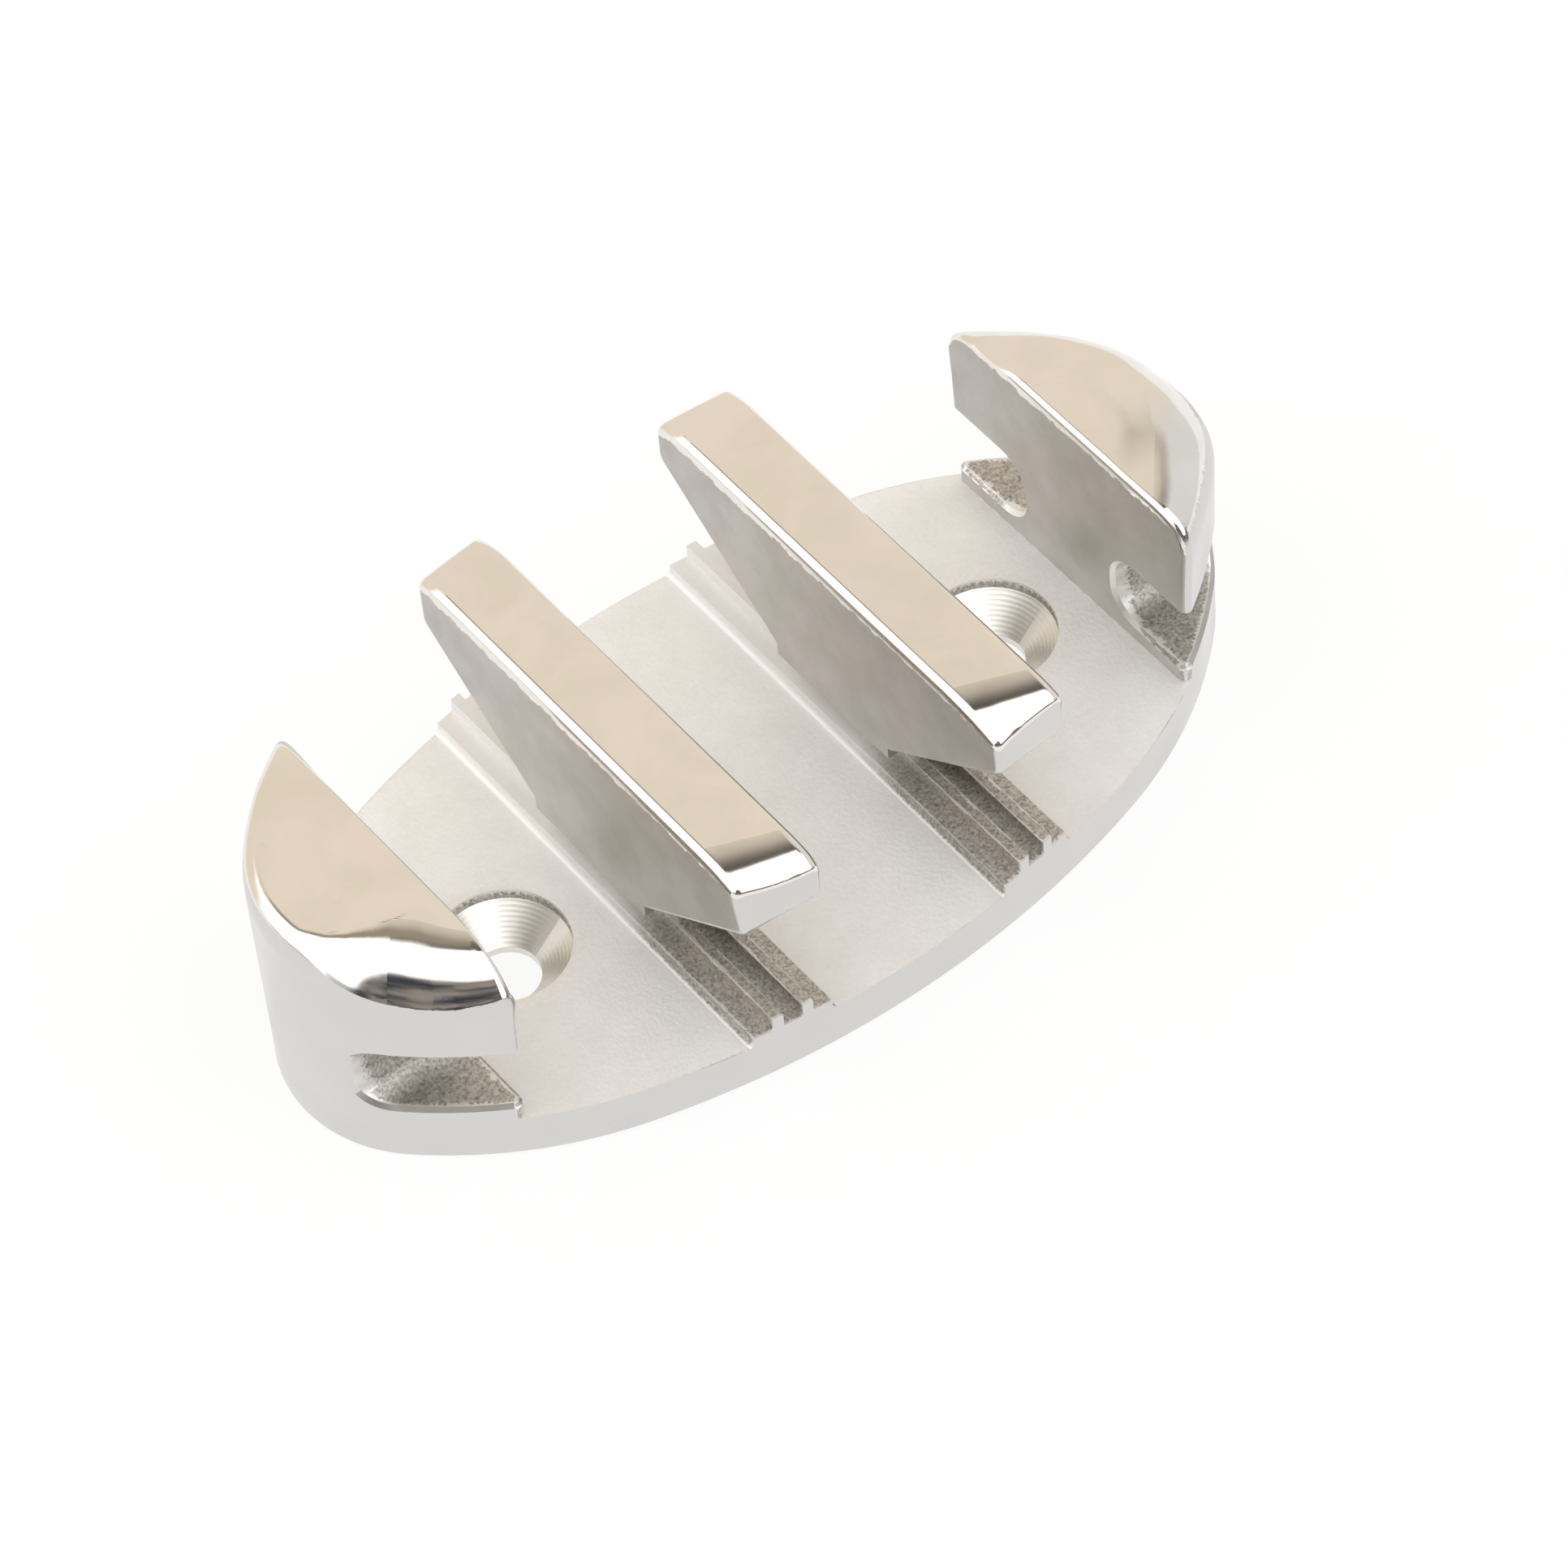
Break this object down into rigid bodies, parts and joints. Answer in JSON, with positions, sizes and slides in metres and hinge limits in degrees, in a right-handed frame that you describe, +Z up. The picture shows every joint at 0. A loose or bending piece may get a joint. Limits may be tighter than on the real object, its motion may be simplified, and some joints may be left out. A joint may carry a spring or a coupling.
{
  "type": "zig zag cleat",
  "caption": "Oval cast stainless deck cleat with a crescent horn at each end and straight upright bars between them, which a rope is woven through to grip.",
  "frame": {"origin": "middle of the oval base, on its underside, where the cleat rests on the deck", "axes": "+X along the cleat through both screw holes, from one horn to the other, +Y along the bars, +Z up from the deck to the tops"},
  "size_m": [0.1048, 0.0524, 0.028],
  "materials": {
    "stainless": "mirror polished tops, satin walls, blasted as-cast floor"
  },
  "bodies": {
    "root": {"cleat_casting": "stainless"}
  },
  "joints": []
}
